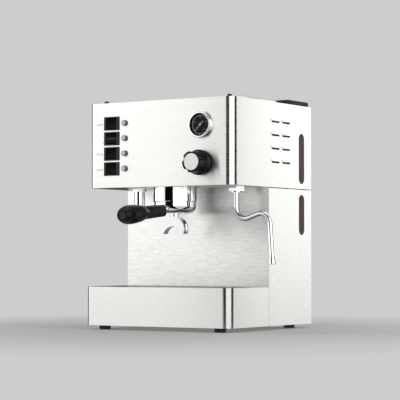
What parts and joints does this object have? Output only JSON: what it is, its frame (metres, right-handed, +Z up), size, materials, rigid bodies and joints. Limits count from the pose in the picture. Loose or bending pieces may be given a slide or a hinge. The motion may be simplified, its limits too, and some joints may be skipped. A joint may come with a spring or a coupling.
{
  "type": "espresso machine",
  "caption": "Home espresso machine with a folded steel casing, bayonet portafilter, steam wand, pressure gauge, pull-out drip drawer and lift-out water tank.",
  "frame": {"origin": "on the standing plane under the middle of the outline, with the handle to the front and the wand to the right", "axes": "+Z up, -Y to the front where the user stands, +X to the right"},
  "size_m": [0.3198, 0.3802, 0.3791],
  "materials": {
    "brushed_steel": "brushed along the width",
    "fine_steel": "plain",
    "chrome": "polished",
    "cap_aluminium": "brushed",
    "brass": "machined",
    "copper": null,
    "rubber": "matt",
    "black_plastic": "fine grain",
    "rocker_black": "smooth",
    "handle_black": "satin",
    "plug_grey": "satin",
    "lid_grey": "fine grain",
    "tank_clear": "translucent",
    "window_smoke": "smoked",
    "lamp_clear": "opal moulded lens",
    "gauge_glass": "flat",
    "dial_black": "printed face",
    "needle_white": "matt white"
  },
  "bodies": {
    "casing": {"base_pan": "brushed_steel", "head_wrap": "brushed_steel", "head_floor": "brushed_steel", "top_plate": "brushed_steel", "splash_panel": "brushed_steel", "lower_side_left": "brushed_steel", "lower_side_right": "brushed_steel", "back_panel": "brushed_steel", "tank_bulkhead": "brushed_steel", "cup_rails": "brushed_steel", "pump_bracket": "brushed_steel", "casing_screws": "fine_steel", "shower_screen": "fine_steel", "heating_element": "fine_steel", "group_bell": "chrome", "wand_socket": "chrome", "hot_water_outlet": "chrome", "gauge_case": "chrome", "boiler": "brass", "group_block": "brass", "bayonet_ring": "brass", "valve_body": "brass", "solenoid_valve": "brass", "copper_pipes": "copper", "rubber_feet": "rubber", "group_gasket": "rubber", "pump_mounts": "rubber", "suction_hose": "rubber", "rail_end_caps": "black_plastic", "switch_housings": "black_plastic", "lamp_bezels": "black_plastic", "mains_inlet": "black_plastic", "thermostat": "black_plastic", "pump": "black_plastic", "level_windows": "window_smoke", "lamp_lenses": "lamp_clear", "gauge_glass": "gauge_glass", "gauge_dial": "dial_black"},
    "rocker_1": {"rocker_1": "rocker_black"},
    "rocker_2": {"rocker_2": "rocker_black"},
    "rocker_3": {"rocker_3": "rocker_black"},
    "rocker_4": {"rocker_4": "rocker_black"},
    "needle": {"gauge_needle": "needle_white"},
    "knob": {"knob_body": "handle_black", "knob_cap": "cap_aluminium", "valve_spindle": "brass"},
    "portafilter": {"portafilter_bowl": "chrome", "filter_basket": "fine_steel", "handle_ferrule": "chrome", "handle_grip": "handle_black", "handle_plug": "plug_grey", "twin_spout": "chrome"},
    "wand": {"steam_wand": "chrome", "wand_tip": "chrome"},
    "drawer": {"tray_fascia": "brushed_steel", "drip_tub": "black_plastic"},
    "grid": {"drip_grid": "brushed_steel"},
    "tank": {"water_tank": "tank_clear", "lid_pins": "fine_steel"},
    "lid": {"tank_lid": "lid_grey"}
  },
  "joints": [
    {"name": "rocker_1_rock", "type": "hinge", "parent": "casing", "child": "rocker_1", "pos_m": [-0.11079, -0.05854, 0.3372], "axis": [1, 0, 0], "range_deg": [-14, 0]},
    {"name": "rocker_2_rock", "type": "hinge", "parent": "casing", "child": "rocker_2", "pos_m": [-0.11079, -0.05854, 0.3124], "axis": [1, 0, 0], "range_deg": [-7, 7]},
    {"name": "rocker_3_rock", "type": "hinge", "parent": "casing", "child": "rocker_3", "pos_m": [-0.11079, -0.05854, 0.2876], "axis": [1, 0, 0], "range_deg": [-14, 0]},
    {"name": "rocker_4_rock", "type": "hinge", "parent": "casing", "child": "rocker_4", "pos_m": [-0.11079, -0.05854, 0.2628], "axis": [1, 0, 0], "range_deg": [-14, 0]},
    {"name": "steam_knob_turn", "type": "hinge", "parent": "casing", "child": "knob", "pos_m": [0.06351, -0.06195, 0.268], "axis": [0, -1, 0], "range_deg": [0, 270]},
    {"name": "gauge_needle_turn", "type": "hinge", "parent": "casing", "child": "needle", "pos_m": [0.06351, -0.06195, 0.328], "axis": [0, 1, 0], "range_deg": [0, 270]},
    {"name": "wand_swivel", "type": "hinge", "parent": "casing", "child": "wand", "pos_m": [0.08711, 0.00705, 0.232], "axis": [0, 0, 1], "range_deg": [-110, 30]},
    {"name": "portafilter_twist", "type": "hinge", "parent": "casing", "child": "portafilter", "pos_m": [-0.01749, -0.01494, 0.232], "axis": [0, 0, 1], "range_deg": [-50, 0]},
    {"name": "drawer_slide", "type": "slide", "parent": "casing", "child": "drawer", "axis": [0, -1, 0], "range_m": [0, 0.12]},
    {"name": "grid_lift", "type": "slide", "parent": "drawer", "child": "grid", "axis": [0, 0, 1], "range_m": [0, 0.03]},
    {"name": "tank_lift", "type": "slide", "parent": "casing", "child": "tank", "axis": [0, 0, 1], "range_m": [0, 0.3]},
    {"name": "lid_hinge", "type": "hinge", "parent": "tank", "child": "lid", "pos_m": [-0.01749, 0.18096, 0.3752], "axis": [-1, 0, 0], "range_deg": [0, 100]}
  ]
}
